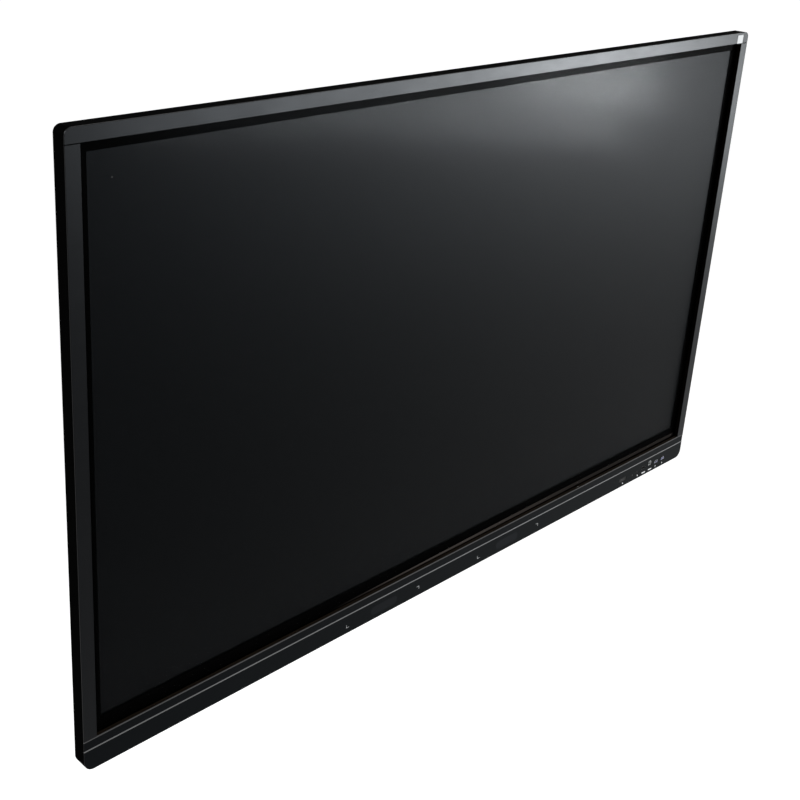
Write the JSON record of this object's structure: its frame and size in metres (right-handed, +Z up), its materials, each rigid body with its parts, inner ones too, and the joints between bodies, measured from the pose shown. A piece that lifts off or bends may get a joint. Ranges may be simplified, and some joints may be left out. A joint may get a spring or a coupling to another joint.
{
  "type": "touchscreen signage display",
  "caption": "Large wall-mounted touchscreen display: recessed glass in a slim frame, lower panel with ports and a power button, and a vented rear cover with handles and a wall-mount pattern.",
  "frame": {"origin": "centre of the wall-mount thread pattern, on the rear mounting plane", "axes": "+X to the viewer's right, +Y out of the back towards the wall, +Z up; the screen faces -Y"},
  "size_m": [1.7306, 0.086, 1.0524],
  "materials": {
    "satin_grey": "satin anodised",
    "rail_black": "fine matt powder coat",
    "panel_black": "fine matt texture",
    "ledge_dark": "satin",
    "trim_bright": "polished cut edge",
    "filter_black": "glossy, infrared clear",
    "screen_glass": "clear with an anti-glare front",
    "screen_black": "anti-glare film",
    "clear_film": "matt",
    "white_sheet": "matt",
    "seal_rubber": "matt foam",
    "frame_plastic": "matt",
    "zinc_steel": "galvanised",
    "cover_black": "textured powder coat",
    "board_green": "solder mask",
    "sink_alu": "black anodised",
    "shell_steel": "nickel plated",
    "tongue_blue": "moulded",
    "socket_black": "moulded",
    "button_black": "satin",
    "lens_dark": "glossy",
    "magnet": "nickel plated",
    "handle_black": "moulded",
    "screw_black": "blackened"
  },
  "bodies": {
    "display": {"bezel_top": "satin_grey", "bezel_left": "satin_grey", "bezel_right": "satin_grey", "frame_rail_top": "rail_black", "frame_rail_bottom": "rail_black", "frame_rail_left": "rail_black", "frame_rail_right": "rail_black", "corner_keys": "zinc_steel", "lower_front_panel": "panel_black", "lower_trim_strip": "trim_bright", "upper_trim_strip": "trim_bright", "pen_ledge": "ledge_dark", "ir_filter_top": "filter_black", "ir_filter_bottom": "filter_black", "ir_filter_left": "filter_black", "ir_filter_right": "filter_black", "ir_emitter_boards": "board_green", "ir_receiver_boards": "board_green", "cover_glass": "screen_glass", "glass_seal": "seal_rubber", "middle_frame": "frame_plastic", "lcd_cell": "screen_black", "optical_sheets": "clear_film", "diffuser_plate": "clear_film", "backlight_chassis": "zinc_steel", "reflector_tray": "white_sheet", "led_bars": "white_sheet", "module_brackets": "zinc_steel", "rear_cover": "cover_black", "speaker_boxes": "frame_plastic", "speaker_drivers": "frame_plastic", "mount_rails": "zinc_steel", "main_board": "board_green", "cpu_heatsink": "sink_alu", "power_supply_board": "board_green", "timing_board": "board_green", "board_standoffs": "zinc_steel", "ops_cage": "zinc_steel", "ops_cover_plate": "cover_black", "ops_thumb_screws": "screw_black", "rear_hdmi_sockets": "shell_steel", "rear_usb_sockets": "shell_steel", "rear_lan_sockets": "shell_steel", "rear_serial_socket": "shell_steel", "rear_audio_jacks": "socket_black", "ac_inlet": "socket_black", "ac_switch_housing": "socket_black", "carry_handles": "handle_black", "usb_a_shells": "shell_steel", "usb_a_tongues": "tongue_blue", "usb_b_socket": "shell_steel", "hdmi_socket": "shell_steel", "usb_c_socket": "shell_steel", "front_io_board": "board_green", "button_switch": "socket_black", "sensor_window": "lens_dark", "pen_magnets": "magnet", "rear_cover_screws": "screw_black"},
    "power_button": {"power_button": "button_black"},
    "ac_rocker": {"ac_rocker": "button_black"}
  },
  "joints": [
    {"name": "power_button_press", "type": "slide", "parent": "display", "child": "power_button", "axis": [0, 1, 0], "range_m": [0, 0.0008], "stiffness_N_per_m": 1200, "springref_m": -0.0008},
    {"name": "ac_rocker_tilt", "type": "hinge", "parent": "display", "child": "ac_rocker", "pos_m": [-0.3, -0.018, -0.2342], "axis": [0, -1, 0], "range_deg": [0, 16]}
  ]
}
